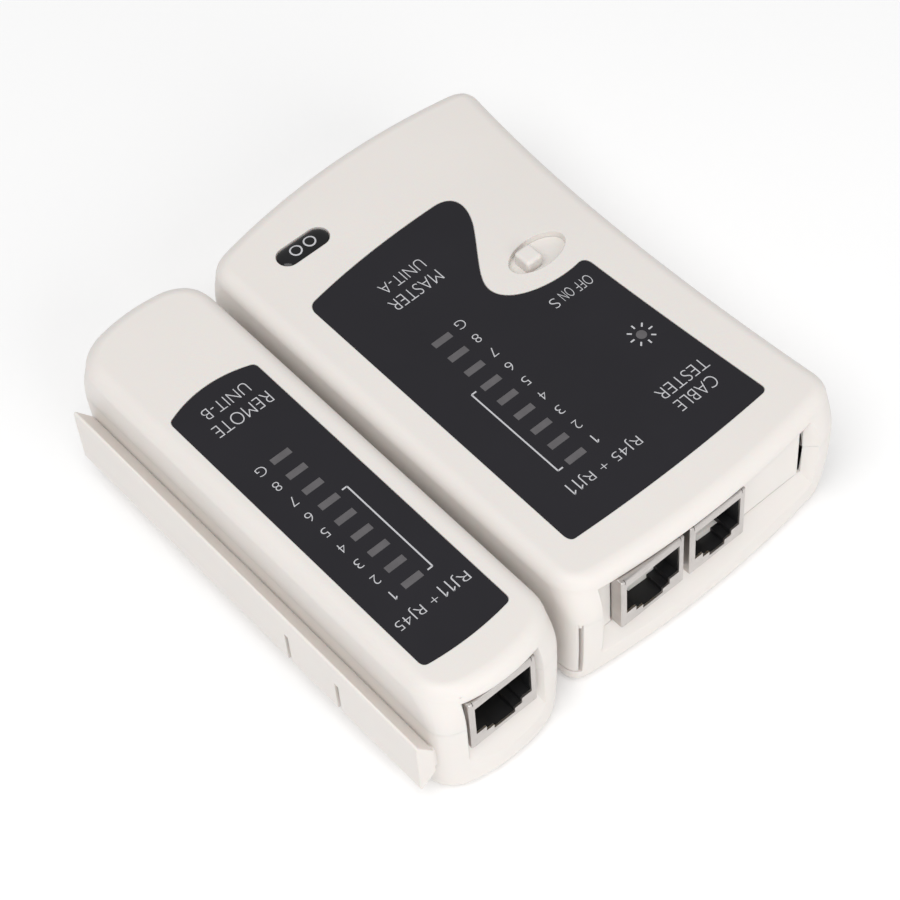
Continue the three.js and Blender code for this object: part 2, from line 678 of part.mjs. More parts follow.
// Grip, shutter plate under the case top and stem. It rests at the -X end of its travel.
function switchKnob() {
  const x = SWITCH.x - SWITCH.travel / 2;
  const stem = centredBlock(x, SWITCH.y, 3.2, 2.4, HEIGHT - 4.6, SHUTTER_TOP - 0.3);
  const plate = centredBlock(x, SWITCH.y, SHUTTER.x, SHUTTER.y, SHUTTER_TOP - SHUTTER.thick, SHUTTER_TOP);
  const grip = centredBlock(x, SWITCH.y, KNOB.x, KNOB.y, SHUTTER_TOP - 0.3, HEIGHT + KNOB.rise);
  return allOf([stem, plate, grip]);
}

function badgePlate() {
  const floor = HEIGHT - BADGE.depth;
  return loft([
    { points: capsule(BADGE, BADGE.halfX, BADGE.halfY), z: floor },
    { points: capsule(BADGE, BADGE.halfX, BADGE.halfY), z: floor + 0.6 },
    { points: capsule(BADGE, BADGE.halfX - 0.9, BADGE.halfY - 0.9), z: floor + 1.2 },
  ]);
}

function powerLed() {
  const { x, y, radius } = POWER_LED;
  const lens = post(x, y, radius, LED_TOP - LED_LENS, LED_TOP, 12);
  const legs = [-0.8, 0.8].map((dx) => centredBlock(x + dx, y, 0.5, 0.5, PCB_TOP + 0.05, LED_TOP - LED_LENS + 0.5));
  return allOf([lens, ...legs]);
}

const CELL_END = CELL.x0 + CELL.length;
const CELL_MIDDLE = CELL.low + CELL.height / 2;

function batteryCell() {
  const body = block(CELL.x0, CELL_END, CELL.y - CELL.width / 2, CELL.y + CELL.width / 2, CELL.low, CELL.low + CELL.height);
  const studs = [-6.3, 6.3].map((dy) => {
    const stud = new THREE.CylinderGeometry(2.8, 2.8, 2.8, 10);
    stud.rotateZ(Math.PI / 2);
    stud.translate(CELL_END + 0.9, CELL.y + dy, CELL_MIDDLE);
    return solidOf(stud);
  });
  return allOf([body, ...studs]);
}

function batterySnap() {
  const x = CELL_END + 2.5;
  return block(x, x + 2.8, CELL.y - 12, CELL.y + 12, CELL_MIDDLE - 4.5, CELL_MIDDLE + 4.5);
}

function batteryLead(offset) {
  const x = CELL_END + 3.9 + offset;
  const endX = 34 + offset;
  const top = CELL_MIDDLE + 4.9;
  return wireTube(
    [
      [x, CELL.y - 9, top],
      [x, CELL.y - 10.5, top + 3],
      [x - 2.8, CELL.y - 15, top + 3.6],
      [endX + 1, 15.5, top + 2.6],
      [endX, 14.4, PCB_TOP + 2.4],
      [endX, 14.2, PCB_TOP + 0.1],
    ],
    0.55,
  );
}

function addMaster(group) {
  const plan = casePlan(MASTER);
  const label = labelPlate(masterLabelOutline(), MASTER_LED_X).subtract(
    post(POWER_LED.x, POWER_LED.y, POWER_LED.radius, HEIGHT - 2, HEIGHT + 1),
  );
  group.add(meshOf("master_top_shell", masterTopShell(plan), IVORY));
  group.add(meshOf("master_bottom_shell", masterBottomShell(plan), IVORY));
  group.add(meshOf("battery_cover", batteryCover(plan), IVORY));
  group.add(meshOf("master_label", label, BLACK));
  group.add(meshOf("oval_badge", badgePlate(), BLACK));
  group.add(meshOf("switch_body", switchBody(), STEEL));
  group.add(meshOf("switch_knob", switchKnob(), IVORY));
  group.add(meshOf("master_pcb", circuitBoard(-8.8, 43.4, -47.4, 16.2, MASTER_SCREWS, BOSS_RADIUS), GREEN));
  addJack(group, "master_rj45", RJ45, MASTER_RJ45_X, MASTER_PORT.faceY);
  addJack(group, "master_rj11", RJ11, MASTER_RJ11_X, MASTER_PORT.faceY);
  addLeds(group, "master", MASTER_LED_X);
  group.add(meshOf("power_led", powerLed(), SMOKE));
  group.add(meshOf("counter_chip", dipChip(18, -14, 8), BLACK));
  group.add(meshOf("timer_chip", dipChip(31, -6, 4), BLACK));
  group.add(meshOf("timing_capacitor", post(19, 4, 2.5, PCB_TOP + 0.3, PCB_TOP + 9), BLACK));
  group.add(meshOf("timing_resistor", resistorBody(19, 10), GOLD));
  group.add(meshOf("battery_9v", batteryCell(), BATTERY));
  group.add(meshOf("battery_snap", batterySnap(), BLACK));
  group.add(meshOf("battery_lead_red", batteryLead(-0.8), RED));
  group.add(meshOf("battery_lead_black", batteryLead(0.8), BLACK));
  MASTER_SCREWS.forEach(([x, y], i) => group.add(meshOf(`master_screw_${i + 1}`, screwBody(x, y), STEEL)));
}

// ---------------------------------------------------------------- remote unit
// Docking rail: a dovetail on a narrow neck, with its long outer edges broken.
function dockRail() {
  const wall = REMOTE.left + 0.8;
  const neck = REMOTE.left - RAIL.neck;
  const out = REMOTE.left - RAIL.out;
  const profile = [
    [wall, RAIL_NECK.high],
    [neck, RAIL_NECK.high],
    [neck, RAIL_NECK.top],
    [out + RAIL.edge, RAIL.high],
    [out, RAIL.high - RAIL.edge],
    [out, RAIL.low + RAIL.edge],
    [out + RAIL.edge, RAIL.low],
    [neck, RAIL_NECK.under],
    [wall, RAIL_NECK.low],
  ].map(([x, z]) => vec(x, z));
  let rail = sweepY(profile, RAIL.near, RAIL.far);
  for (const y of RAIL_SLITS.ys) {
    const high = RAIL.low + RAIL_SLITS.height;
    rail = rail.subtract(centredBlock(out, y, 2 * RAIL_SLITS.deep, RAIL_SLITS.width, 0, high));
  }
  return rail;
}

function remoteTopShell(plan) {
  const floor = HEIGHT - LABEL_RECESS;
  let shell = topBody(plan).subtract(topCavity(plan));
  for (const [x, y] of REMOTE_SCREWS) shell = shell.add(topBoss(x, y));
  const cuts = [
    prism(remoteLabelOutline(), floor, HEIGHT + 1),
    ledHoles(REMOTE_LED_X, LED_SIZE, 0.4, HEIGHT - 4, HEIGHT),
    recessCut(REMOTE_PORT),
    ...REMOTE_SCREWS.map(([x, y]) => topBossHole(x, y)),
  ];
  for (const cut of cuts) shell = shell.subtract(cut);
  return shell.add(hangingPanel(REMOTE_PORT, [[RJ45, REMOTE_RJ45_X]]));
}

function remoteBottomShell(plan) {
  let shell = bottomBody(plan).subtract(bottomCavity(plan));
  const bosses = REMOTE_SCREWS.map(([x, y]) => bottomBoss(x, y, REMOTE_BOSS_RADIUS));
  shell = allOf([shell, ledgeBacking(REMOTE_PORT, plan), dockRail(), ...bosses]);
  const cuts = [recessCut(REMOTE_PORT), ...REMOTE_SCREWS.map(([x, y]) => bottomBossHole(x, y))];
  for (const cut of cuts) shell = shell.subtract(cut);
  return shell;
}

function addRemote(group) {
  const plan = casePlan(REMOTE);
  group.add(meshOf("remote_top_shell", remoteTopShell(plan), IVORY));
  group.add(meshOf("remote_bottom_shell", remoteBottomShell(plan), IVORY));
  group.add(meshOf("remote_label", labelPlate(remoteLabelOutline(), REMOTE_LED_X), BLACK));
  group.add(meshOf("remote_pcb", circuitBoard(-39.4, -24.4, -48, 12, REMOTE_SCREWS, REMOTE_BOSS_RADIUS), GREEN));
  addJack(group, "remote_rj45", RJ45, REMOTE_RJ45_X, REMOTE_PORT.faceY);
  addLeds(group, "remote", REMOTE_LED_X);
  REMOTE_SCREWS.forEach(([x, y], i) => group.add(meshOf(`remote_screw_${i + 1}`, screwBody(x, y), STEEL)));
}

const tester = new THREE.Group();
addMaster(tester);
addRemote(tester);
export default tester;
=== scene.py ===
import math

import bmesh
import bpy
from mathutils import Matrix, Vector


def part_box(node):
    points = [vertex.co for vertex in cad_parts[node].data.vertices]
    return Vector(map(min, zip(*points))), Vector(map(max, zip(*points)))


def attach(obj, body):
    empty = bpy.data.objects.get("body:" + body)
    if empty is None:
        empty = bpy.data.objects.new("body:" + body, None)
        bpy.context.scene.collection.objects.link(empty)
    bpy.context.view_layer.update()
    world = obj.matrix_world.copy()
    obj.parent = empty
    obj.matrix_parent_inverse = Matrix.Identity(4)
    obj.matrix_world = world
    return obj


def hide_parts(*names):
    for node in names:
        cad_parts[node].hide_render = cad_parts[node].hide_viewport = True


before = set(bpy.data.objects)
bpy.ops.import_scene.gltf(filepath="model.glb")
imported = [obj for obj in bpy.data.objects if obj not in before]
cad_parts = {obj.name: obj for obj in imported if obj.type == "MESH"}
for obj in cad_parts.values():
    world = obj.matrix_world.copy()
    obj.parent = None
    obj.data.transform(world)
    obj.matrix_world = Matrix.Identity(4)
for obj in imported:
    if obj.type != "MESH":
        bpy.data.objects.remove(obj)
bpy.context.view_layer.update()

# ------------------------------------------------------------------ places taken from the frame (metres)
MASTER_LO, MASTER_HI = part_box("master_top_shell")
REMOTE_LO, REMOTE_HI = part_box("remote_top_shell")
RAIL_LO, RAIL_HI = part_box("remote_bottom_shell")
SPLIT = RAIL_HI.z
HEIGHT = MASTER_HI.z
LED_TAGS = ("1", "2", "3", "4", "5", "6", "7", "8", "g")

# ------------------------------------------------------------------ driving dimensions (metres)
WALL = 0.002
EDGE_ROUND = 0.003
FILLET_STEPS = 8
BULGE_STEPS = 5
SEAM = 0.00001
GAP = 0.0003
OVER = 0.001  # how far a cutter or a joined part runs past a surface
BEYOND = 0.06  # farther out than either case reaches

# Corner reaches run near left, near right, far right, far left; the corners are fullest at the seam.
# "back" sets the port edge back at that level.
MASTER = {
    "left": MASTER_LO.x,
    "waist": 0.0463,
    "waist_y": 0.0026,
    "near_flare": 0.0025,
    "far_flare": 0.0041,
    "port": {"x": 0.0154, "y": MASTER_LO.y},
    "far": {"x": 0.020, "y": MASTER_HI.y, "radius": 0.135},
    "top": {"port_radius": 0.185, "back": 0.0, "corners": (0.006, 0.006, 0.005, 0.005)},
    "seam": {"port_radius": 0.900, "back": 0.0, "corners": (0.0056, 0.0071, 0.003, 0.0022)},
    "foot": {"port_radius": 0.200, "back": 0.0, "corners": (0.0034, 0.006, 0.005, 0.005)},
}
REMOTE = {
    "left": REMOTE_LO.x,
    "waist": REMOTE_HI.x,
    "waist_y": 0.0,
    "near_flare": 0.0,
    "far_flare": 0.0,
    "port": {"x": -0.0316, "y": RAIL_LO.y},
    "far": {"x": -0.0306, "y": REMOTE_HI.y, "radius": 0.034},
    "top": {"port_radius": 0.034, "back": 0.0007, "corners": (0.006, 0.006, 0.006, 0.006)},
    "seam": {"port_radius": 0.037, "back": 0.0, "corners": (0.0034, 0.0034, 0.003, 0.002)},
    "foot": {"port_radius": 0.034, "back": 0.0, "corners": (0.0046, 0.0054, 0.006, 0.006)},
}
SIDE_REACH = 0.0526

SHIELD_WALL = 0.0004
JACK_SHAPES = {
    "rj45": {"mouth": 0.0122, "step": 0.0078, "key": 0.0046},
    "rj11": {"mouth": 0.0106, "step": 0.0068, "key": 0.0036},
}
KEY_LOW, STEP_LOW, MOUTH_LOW, MOUTH_HIGH = 0.0013, 0.0024, 0.0037, 0.0116

RECESS_HIGH = HEIGHT - 0.0031
PANEL_FOOT = 0.0123
BACKING_FOOT = 0.006
LEDGE_SLOPE = 2.5
PANEL_THICK = 0.0016
MASTER_PORT = {
    "setback": 0.0027, "x0": -0.0094, "x1": 0.0399, "panel_end": 0.0390, "flare": 1.07,
    "jacks": ("master_rj45", "master_rj11"),
}
REMOTE_PORT = {
    "setback": 0.0014, "x0": -0.0405, "x1": -0.0247, "panel_end": -0.0250, "flare": 0.8,
    "jacks": ("remote_rj45",),
}

LABEL_RECESS = 0.0004
LABEL_THICK = 0.0003
INK_LIFT = 0.00002

SWITCH = {"x": 0.0307, "y": 0.00895, "half_x": 0.0062, "half_y": 0.00345, "depth": 0.0014, "travel": 0.0041}
KNOB = (0.0037, 0.0040)
POWER_LAMP = {"bore": 0.0017, "window": 0.00103, "pane": 0.0010}
PANE_SINK = 0.00004
PANE_THICK = 0.0002
BADGE = {"x": 0.00087, "y": 0.03948, "half_x": 0.0056, "half_y": 0.0022, "depth": 0.001}

RAIL = {"neck": 0.0003, "low": 0.0064, "near": -0.0494, "far": 0.0453, "edge": 0.0005}
RAIL_NECK = {"under": 0.0088, "low": 0.0094, "high": 0.0148, "top": 0.0155}
RAIL_SLITS = {"ys": (-0.0282, -0.0147), "width": 0.001, "height": 0.008, "deep": 0.0018}
DOCK = {
    "lip": 0.0013, "inner": 0.0019, "wall": 0.0039, "flange": 0.0043,
    "lip_foot": 0.0046, "slot_top": 0.0187, "roof": 0.0012,
}
SCREW = {
    "top_boss": 0.0023,
    "head": 0.0025,
    "head_top": 0.00505,
    "shank": 0.00145,
    "shank_foot": 0.004,
}
MASTER_BOSS = 0.0032
REMOTE_BOSS = 0.003
BAY = {"x0": -0.0086, "x1": 0.043, "near": 0.0195, "cover": 0.0017}

# Angles in degrees, lens in millimetres.
CAMERA = {
    "azimuth": -36.764, "elevation": 53.896, "roll": 5.389, "lens": 108.03,
    "place": (-0.1730, -0.2320, 0.4038),
}


# ------------------------------------------------------------------ mesh helpers
def piece_from(name, bm):
    mesh = bpy.data.meshes.new(name)
    bm.to_mesh(mesh)
    bm.free()
    piece = bpy.data.objects.new(name, mesh)
    bpy.context.scene.collection.objects.link(piece)
    return piece


def loft(rings, name="cutter"):
    """Closed body through rings of 3-D points, all of the same length."""
    bm = bmesh.new()
    rows = [[bm.verts.new(p) for p in ring] for ring in rings]
    count = len(rows[0])
    for low, high in zip(rows, rows[1:]):
        for i in range(count):
            j = (i + 1) % count
            bm.faces.new((low[i], low[j], high[j], high[i]))
    bm.faces.new(list(reversed(rows[0])))
    bm.faces.new(rows[-1])
    bmesh.ops.recalc_face_normals(bm, faces=bm.faces)
    return piece_from(name, bm)


def prism(outline, z0, z1, name="cutter"):
    return loft([[(x, y, z) for x, y in outline] for z in (z0, z1)], name)


def sweep_y(profile, y0, y1):
    return loft([[(x, y, z) for x, z in profile] for y in (y0, y1)])


def sweep_x(profile, x0, x1):
    return loft([[(x, y, z) for y, z in profile] for x in (x0, x1)])


def block(x0, x1, y0, y1, z0, z1, name="cutter"):
    return prism([(x0, y0), (x1, y0), (x1, y1), (x0, y1)], z0, z1, name)


def centred_block(x, y, size_x, size_y, z0, z1, name="cutter"):
    return block(x - size_x / 2, x + size_x / 2, y - size_y / 2, y + size_y / 2, z0, z1, name)


def post(x, y, radius, z0, z1, segments=32):
    return prism(ellipse(x, y, radius, radius, segments), z0, z1)


def combine(piece, others, operation):
    """Applies one boolean for each other solid, then removes those solids."""
    for other in others:
        boolean = piece.modifiers.new("combine", "BOOLEAN")
        boolean.operation = operation
        boolean.solver = "MANIFOLD"
        boolean.object = other
    graph = bpy.context.evaluated_depsgraph_get()
    mesh = bpy.data.meshes.new_from_object(piece.evaluated_get(graph))
    piece.modifiers.clear()
    piece.data = mesh
    for other in others:
        bpy.data.objects.remove(other)
    return piece


def cut(piece, *others):
    return combine(piece, others, "DIFFERENCE")


def add(piece, *others):
    return combine(piece, others, "UNION")


def keep(piece, *others):
    return combine(piece, others, "INTERSECT")


def dress(piece, material, body, nodes=(), sharp_deg=32):
    """Smooth shading, material, and the piece's place in the frame."""
    piece.data.materials.clear()
    piece.data.materials.append(material)
    piece.data.shade_smooth()
    piece.data.set_sharp_from_angle(angle=math.radians(sharp_deg))
    normals = piece.modifiers.new("normals", "WEIGHTED_NORMAL")
    normals.keep_sharp = True
    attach(piece, body)
    if nodes:
        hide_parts(*nodes)
    return piece


# ------------------------------------------------------------------ outlines
def lerp(a, b, t):
    return a + (b - a) * t


def ellipse(x, y, half_x, half_y, segments=64):
    turns = [2 * math.pi * i / segments for i in range(segments)]
    return [(x + half_x * math.cos(t), y + half_y * math.sin(t)) for t in turns]


def capsule(place, grow, segments=20):
    """Straight-sided oval with half-round ends, grown by a margin."""
    radius = place["half_y"] + grow
    reach = place["half_x"] - place["half_y"]
    points = []
    for side in (1, -1):
        for i in range(segments + 1):
            turn = math.pi * (i / segments - 0.5)
            x = place["x"] + side * (reach + radius * math.cos(turn))
            points.append((x, place["y"] + side * radius * math.sin(turn)))
    return points


def curve_points(handles, steps):
    """Points on the Bezier curve with these handles, first and last included."""
    points = []
    for i in range(steps + 1):
        t = i / steps
        row = [Vector(h) for h in handles]
        while len(row) > 1:
            row = [a.lerp(b, t) for a, b in zip(row, row[1:])]
        points.append(tuple(row[0]))
    return points


def port_edge(unit, radius, x):
    return unit["port"]["y"] + radius - math.sqrt(radius**2 - (x - unit["port"]["x"]) ** 2)


def far_edge(unit, x):
    far = unit["far"]
    return far["y"] - far["radius"] + math.sqrt(far["radius"] ** 2 - (x - far["x"]) ** 2)


def outer_side(unit, y):
    t = (y - unit["waist_y"]) / SIDE_REACH
    flare = unit["near_flare"] if t < 0 else unit["far_flare"]
    return unit["waist"] + flare * t * t


def case_outline(unit, level, steps=28, corner_steps=12):
    """The plan outline at one level, counter-clockwise from the near left corner."""
    near_left_reach, near_right_reach, far_right_reach, far_left_reach = level["corners"]
    left = unit["left"]
    near_right = outer_side(unit, unit["port"]["y"])
    far_right = outer_side(unit, unit["far"]["y"])
    shares = [i / steps for i in range(steps + 1)]

    def port_y(x):
        return port_edge(unit, level["port_radius"], x) + level["back"]

    port_xs = [lerp(left + near_left_reach, near_right - near_right_reach, t) for t in shares]
    far_xs = [lerp(far_right - far_right_reach, left + far_left_reach, t) for t in shares]
    port_points = [(x, port_y(x)) for x in port_xs]
    far_points = [(x, far_edge(unit, x)) for x in far_xs]
    side_low = port_y(near_right) + near_right_reach
    side_high = far_edge(unit, far_right) - far_right_reach
    side_points = [(outer_side(unit, y), y) for y in (lerp(side_low, side_high, t) for t in shares)]
    near_left = (left, port_y(left) + near_left_reach)
    far_left = (left, far_edge(unit, left) - far_left_reach)

    def corner(start, handle, end):
        return curve_points((start, handle, end), corner_steps)[1:-1]

    return [
        *port_points,
        *corner(port_points[-1], (near_right, port_y(near_right)), side_points[0]),
        *side_points,
        *corner(side_points[-1], (far_right, far_edge(unit, far_right)), far_points[0]),
        *far_points,
        *corner(far_points[-1], (left, far_edge(unit, left)), far_left),
        far_left,
        near_left,
        *corner(near_left, (left, port_y(left)), port_points[0]),
    ]


def case_plan(unit):
    return {name: case_outline(unit, unit[name]) for name in ("top", "seam", "foot")}


def inset(points, distance):
    """Moves a counter-clockwise outline inwards by the same distance all round."""
    moved = []
    for i, p in enumerate(points):
        here, before, after = Vector(p), Vector(points[i - 1]), Vector(points[(i + 1) % len(points)])
        in_a = Vector((before.y - here.y, here.x - before.x)).normalized()
        in_b = Vector((here.y - after.y, after.x - here.x)).normalized()
        inward = (in_a + in_b).normalized()
        moved.append(tuple(here + inward * (distance / inward.dot(in_a))))
    return moved


def at_height(points, z):
    return [(x, y, z) for x, y in points]


def fillet_rings(outline, edge_z, inward_z):
    """Rings that roll from the side wall at inward_z over to the flat face at edge_z."""
    rings = []
    for i in range(FILLET_STEPS + 1):
        turn = math.pi / 2 * i / FILLET_STEPS
        ring = inset(outline, EDGE_ROUND * (1 - math.cos(turn)))
        rings.append(at_height(ring, lerp(inward_z, edge_z, math.sin(turn))))
    return rings


def bulge_rings(seam, edge, edge_z):
    """Side-wall rings between the seam and an edge fillet; the bulge falls away with the square."""
    rings = []
    for i in range(1, BULGE_STEPS):
        share = i / BULGE_STEPS
        ring = [tuple(Vector(a).lerp(Vector(b), share**2)) for a, b in zip(seam, edge)]
        rings.append(at_height(ring, lerp(SPLIT, edge_z, share)))
    return rings


def top_body(plan, name):
    side_z = HEIGHT - EDGE_ROUND
    seam = at_height(plan["seam"], SPLIT + SEAM)
    bulge = bulge_rings(plan["seam"], plan["top"], side_z)
    return loft([seam, *bulge, *fillet_rings(plan["top"], HEIGHT, side_z)], name)


def bottom_body(plan, name="cutter"):
    fillet = fillet_rings(plan["foot"], 0, EDGE_ROUND)[::-1]
    bulge = bulge_rings(plan["seam"], plan["foot"], EDGE_ROUND)[::-1]
    return loft([*fillet, *bulge, at_height(plan["seam"], SPLIT)], name)


def top_cavity(plan):
    low = at_height(inset(plan["seam"], WALL), SPLIT - OVER)
    high = at_height(inset(plan["top"], WALL), HEIGHT - EDGE_ROUND)
    return loft([low, high, at_height(inset(plan["top"], WALL + 0.001), HEIGHT - WALL)])


def bottom_cavity(plan):
    low = at_height(inset(plan["foot"], WALL + 0.001), WALL)
    high = at_height(inset(plan["seam"], WALL), SPLIT + OVER)
    return loft([low, at_height(inset(plan["foot"], WALL), EDGE_ROUND), high])


# ------------------------------------------------------------------ port recess
def shield_box(jack):
    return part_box(jack + "_shield")


def panel_y(port):
    return shield_box(port["jacks"][0])[0].y + port["setback"]


def recess_cut(port):
    """The space in front of the panel, above the sloping ledge and between the side walls."""
    back = panel_y(port)
    front = back - 0.008
    flare = port["flare"] * (back - front)
    floor_plan = [(port["x0"], front), (port["x1"] + flare, front), (port["x1"], back), (port["x0"], back)]
    space = prism(floor_plan, 0, RECESS_HIGH)
    foot = PANEL_FOOT - LEDGE_SLOPE * (back - front)
    wedge = [(front, foot), (back, PANEL_FOOT), (back, RECESS_HIGH + OVER), (front, RECESS_HIGH + OVER)]
    keep(space, sweep_x(wedge, port["x0"] - 0.01, port["x1"] + 0.02))
    behind = block(port["x0"], port["x1"], back - 0.0005, back + PANEL_THICK + GAP, PANEL_FOOT, RECESS_HIGH)
    return add(space, behind)


def ledge_backing(port, plan):
    """Thickens the port wall behind the ledge, up to the panel's foot."""
    back = panel_y(port)
    x0, x1 = port["x0"] - OVER, port["x1"] + OVER
    backing = block(x0, x1, back - OVER, back + PANEL_THICK, BACKING_FOOT, PANEL_FOOT)
    return keep(backing, prism(inset(plan["foot"], WALL / 2), 0, HEIGHT))


def hanging_panel(port):
    back = panel_y(port)
    roof = HEIGHT - WALL + 0.0004
    panel = block(port["x0"] + 0.00005, port["panel_end"], back, back + PANEL_THICK, PANEL_FOOT + GAP, roof)
    low, high = shield_box(port["jacks"][0])[0], shield_box(port["jacks"][-1])[1]
    opening = block(low.x - 0.00015, high.x + 0.00015, back - 0.003, back + 0.003, 0, high.z + 0.0001)
    return cut(panel, opening)


# ------------------------------------------------------------------ labels
def flat_arc(x0, x1, mid_y, bow, steps=16):
    shares = [2 * i / steps - 1 for i in range(steps + 1)]
    return [(lerp(x0, x1, (t + 1) / 2), mid_y + bow * t * t) for t in shares]


def master_label_outline():
    left, corner = -0.0076, 0.0013
    port_arc = flat_arc(left + corner, 0.0375, -0.0423, 0.0007)
    side_low, side_high = (0.0387, -0.0401), (0.0363, 0.0002)
    bay_start, bay_end = (0.0347, 0.0021), (0.0197, 0.0115)
    rise_end, peak_end, far_end = (0.0266, 0.0216), (0.0245, 0.0303), (-0.0056, 0.0282)
    return [
        *port_arc,
        *curve_points((port_arc[-1], (0.0388, -0.0414), side_low), 10)[1:-1],
        *curve_points((side_low, (0.0369, -0.016), side_high), 16),
        *curve_points((side_high, (0.0362, 0.0021), bay_start), 10)[1:-1],
        *curve_points((bay_start, (0.027, 0.0009), (0.0155, 0.0042), bay_end), 24),
        *curve_points((bay_end, (0.0206, 0.0134), (0.0244, 0.0182), rise_end), 12)[1:],
        *curve_points((rise_end, (0.0296, 0.0266), (0.0289, 0.0302), peak_end), 16)[1:],
        *curve_points((peak_end, (0.008, 0.0306), far_end), 16)[1:],
        *curve_points((far_end, (-0.0073, 0.0278), (left + 0.0002, 0.0258)), 12)[1:],
        (left, -0.0396),
        *curve_points(((left, -0.0396), (left, port_arc[0][1]), port_arc[0]), 10)[1:-1],
    ]


def remote_label_outline():
    left, right, corner = -0.0415, -0.0223, 0.0013
    port_arc = flat_arc(left + corner, right - corner, -0.044, 0.0006)
    far_arc = flat_arc(right - 0.001, left + 0.001, 0.0266, -0.0017)
    return [
        *port_arc,
        *curve_points((port_arc[-1], (right, -0.0433), (right, -0.0419)), 8)[1:],
        *curve_points(((right, 0.0234), (right, 0.0246), far_arc[0]), 6),
        *far_arc[1:],
        *curve_points((far_arc[-1], (left, 0.0246), (left, 0.0234)), 6)[1:],
        *curve_points(((left, -0.0419), (left, -0.0433), port_arc[0]), 8)[:-1],
    ]


def lamp_centres(unit):
    boxes = [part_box(f"{unit}_led_{tag}") for tag in LED_TAGS]
    return [(low + high) / 2 for low, high in boxes]


LAMP_WINDOW = (0.0041, 0.0015)


def lamp_blocks(unit, size, z0, z1):
    return [centred_block(c.x, c.y, size[0], size[1], z0, z1) for c in lamp_centres(unit)]


def label_film(unit, outline, material, extra_holes=()):
    floor = HEIGHT - LABEL_RECESS
    film = prism(inset(outline, 0.0001), floor, floor + LABEL_THICK, f"{unit}_label_film")
    holes = lamp_blocks(unit, LAMP_WINDOW, floor - OVER, HEIGHT + OVER)
    cut(film, *holes, *extra_holes)
    return dress(film, material, UNIT_BODY[unit], [f"{unit}_label"])


def lamp_windows(unit, material, extra=()):
    """Smoked panes set in the label over the lamps."""
    top = HEIGHT - LABEL_RECESS + LABEL_THICK - PANE_SINK
    width, depth = LAMP_WINDOW[0] - 0.00006, LAMP_WINDOW[1] - 0.00006
    panes = [*lamp_blocks(unit, (width, depth), top - PANE_THICK, top), *extra]
    joined = add(panes[0], *panes[1:])
    joined.name = f"{unit}_lamp_windows"
    return dress(joined, material, UNIT_BODY[unit])


# ------------------------------------------------------------------ printing
INK_Z = HEIGHT - LABEL_RECESS + LABEL_THICK + INK_LIFT
FIGURE_STROKE = 0.00024
BRACKET_STROKE = 0.0003
RING_STROKE = 0.00032
LAMP_FIGURE = 0.0020
CAP = 0.0026


def words(bm, text, x, y, width, height):
    """One line of lettering that reads towards -X, fitted to its width and cap height."""
    curve = bpy.data.curves.new("words", "FONT")
    curve.body = text
    curve.offset = -0.018
    holder = bpy.data.objects.new("words", curve)
    bpy.context.scene.collection.objects.link(holder)
    graph = bpy.context.evaluated_depsgraph_get()
    mesh = bpy.data.meshes.new_from_object(holder.evaluated_get(graph))
    xs = [v.co.x for v in mesh.vertices]
    ys = [v.co.y for v in mesh.vertices]
    middle = Vector(((min(xs) + max(xs)) / 2, (min(ys) + max(ys)) / 2, 0))
    scale = Matrix.Diagonal((width / (max(xs) - min(xs)), height / (max(ys) - min(ys)), 1, 1))
    place = Matrix.Translation((x, y, INK_Z)) @ Matrix.Rotation(math.pi, 4, "Z")
    mesh.transform(place @ scale @ Matrix.Translation(-middle))
    bm.from_mesh(mesh)
    bpy.data.objects.remove(holder)


def bar(bm, x0, y0, x1, y1, stroke):
    """A printed line from one point to another."""
    along = Vector((x1 - x0, y1 - y0)).normalized()
    side = Vector((-along.y, along.x)) * stroke / 2
    corners = [
        (x0 - side.x, y0 - side.y),
        (x1 - side.x, y1 - side.y),
        (x1 + side.x, y1 + side.y),
        (x0 + side.x, y0 + side.y),
    ]
    bm.faces.new([bm.verts.new((x, y, INK_Z)) for x, y in corners])


def figure_one(bm, x, y, height):
    """A 1 that reads towards -X: an upright with a short flag."""
    top = y - height / 2
    bar(bm, x, top, x, y + height / 2, FIGURE_STROKE)
    bar(bm, x, top, x + 0.26 * height, top + 0.24 * height, FIGURE_STROKE)


def lamp_numbers(bm, unit, dx, dy):
    for tag, c in zip(LED_TAGS, lamp_centres(unit)):
        if tag == "1":
            figure_one(bm, c.x + dx, c.y + dy, LAMP_FIGURE)
        else:
            width = 0.0018 if tag == "g" else 0.00125
            words(bm, tag.upper(), c.x + dx, c.y + dy, width, LAMP_FIGURE)


def lamp_bracket(bm, unit, dx):
    """A line beside lamps 1 to 6 with a short tick at each end."""
    centres = lamp_centres(unit)
    x = centres[0].x + dx
    tick = math.copysign(0.0011, -dx)
    y0, y1 = centres[0].y - 0.0003, centres[5].y + 0.0003
    bar(bm, x, y0, x, y1, BRACKET_STROKE)
    bar(bm, x, y0, x + tick, y0, BRACKET_STROKE)
    bar(bm, x, y1, x + tick, y1, BRACKET_STROKE)


def sun_rays(bm, x, y, inner=0.0017, outer=0.0026, rays=8):
    for i in range(rays):
        turn = 2 * math.pi * i / rays
        dx, dy = math.cos(turn), math.sin(turn)
        bar(bm, x + inner * dx, y + inner * dy, x + outer * dx, y + outer * dy, RING_STROKE)


def printed(unit, bm, material):
    piece = piece_from(f"{unit}_print", bm)
    return dress(piece, material, UNIT_BODY[unit])


